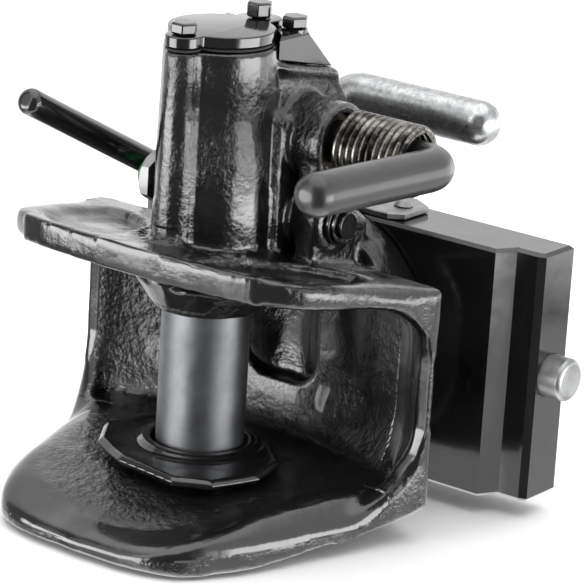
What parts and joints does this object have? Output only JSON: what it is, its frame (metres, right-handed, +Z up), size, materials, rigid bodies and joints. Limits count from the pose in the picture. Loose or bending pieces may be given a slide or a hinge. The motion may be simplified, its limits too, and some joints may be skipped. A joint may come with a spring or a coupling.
{
  "type": "automatic trailer hitch",
  "caption": "Cast clevis hitch head with a lifting coupling pin, bent release lever and hand lever, swivelling on a slide plate with side locking pins and a handle.",
  "frame": {"origin": "middle of the slide plate's rear face, where the swivel axis leaves it", "axes": "+Y along the swivel axis towards the tractor, +Z up, +X towards the side with the bent release lever"},
  "size_m": [0.2404, 0.2317, 0.2193],
  "materials": {
    "cast_enamel": "gloss black enamel over a rough casting",
    "smooth_enamel": "gloss black enamel",
    "pin_steel": "ground steel, satin",
    "inner_steel": "plain steel, greased",
    "spring_steel": "oiled spring steel with worn black paint",
    "zinc": "bright zinc plate",
    "galvanised": "galvanised, slightly mottled",
    "green_cap": "green plastic",
    "bronze": "bearing bronze",
    "gasket": "matt gasket sheet",
    "brake_lining": "matt brake lining"
  },
  "bodies": {
    "slide": {"slide_plate": "smooth_enamel", "swivel_bush": "bronze", "brake_ring": "brake_lining", "slide_cover": "smooth_enamel", "handle_bracket": "zinc", "bracket_rivet_right": "zinc", "bracket_rivet_left": "zinc"},
    "head": {"jaw_casting": "cast_enamel", "upper_pin_bush": "bronze", "lower_pin_bush": "bronze", "wear_plate": "smooth_enamel", "cover_gasket": "gasket", "top_cover": "smooth_enamel", "cover_bolt_front": "smooth_enamel", "cover_bolt_rear": "smooth_enamel", "rear_cover": "smooth_enamel", "rear_cover_bolt": "smooth_enamel", "release_bush_right": "bronze", "release_bush_left": "bronze", "release_end_cap": "smooth_enamel", "torsion_spring": "spring_steel", "indicator_bush": "zinc", "thrust_washer": "zinc", "castle_nut": "zinc", "split_pin": "zinc"},
    "pin": {"coupling_pin": "pin_steel"},
    "release": {"release_lever": "smooth_enamel", "lift_arm": "inner_steel", "lift_arm_pin": "inner_steel"},
    "hand": {"hand_lever": "smooth_enamel", "latch_shaft": "smooth_enamel", "latch_pawl": "inner_steel", "latch_washer": "smooth_enamel", "latch_circlip": "spring_steel"},
    "indicator": {"indicator_pin": "green_cap"},
    "handle": {"slide_handle": "galvanised", "handle_crank": "inner_steel"},
    "lock_right": {"locking_pin_right": "zinc", "pull_strap_right": "inner_steel"},
    "lock_left": {"locking_pin_left": "zinc", "pull_strap_left": "inner_steel"}
  },
  "joints": [
    {"name": "head_swivel", "type": "hinge", "parent": "slide", "child": "head", "pos_m": [0, -0.03, 0], "axis": [0, 1, 0], "range_deg": [-90, 90]},
    {"name": "pin_lift", "type": "slide", "parent": "head", "child": "pin", "axis": [0, 0, 1], "range_m": [0, 0.07], "stiffness_N_per_m": 1200, "springref_m": -0.08},
    {"name": "release_turn", "type": "hinge", "parent": "head", "child": "release", "pos_m": [0, -0.0834, 0.1022], "axis": [-1, 0, 0], "range_deg": [0, 112.2]},
    {"name": "hand_turn", "type": "hinge", "parent": "head", "child": "hand", "pos_m": [0, -0.0854, 0.0682], "axis": [-1, 0, 0], "range_deg": [0, 40], "stiffness_Nm_per_rad": 0.8, "springref_deg": -28.65},
    {"name": "indicator_slide", "type": "slide", "parent": "head", "child": "indicator", "axis": [1, 0, 0], "range_m": [0, 0.0043]},
    {"name": "handle_turn", "type": "hinge", "parent": "slide", "child": "handle", "pos_m": [-0.008, -0.016, 0.06], "axis": [0, 0, 1], "range_deg": [0, 90], "stiffness_Nm_per_rad": 2, "springref_deg": -28.65},
    {"name": "lock_right_slide", "type": "slide", "parent": "slide", "child": "lock_right", "axis": [-1, 0, 0], "range_m": [0, 0.0114]},
    {"name": "lock_left_slide", "type": "slide", "parent": "slide", "child": "lock_left", "axis": [1, 0, 0], "range_m": [0, 0.0114]}
  ],
  "couplings": [
    {"joint": "release_turn", "follows": "pin_lift", "rad_per_m": 27.925},
    {"joint": "indicator_slide", "follows": "pin_lift", "ratio": 0.06},
    {"joint": "lock_right_slide", "follows": "handle_turn", "m_per_rad": 0.0072},
    {"joint": "lock_left_slide", "follows": "handle_turn", "m_per_rad": 0.0072}
  ]
}
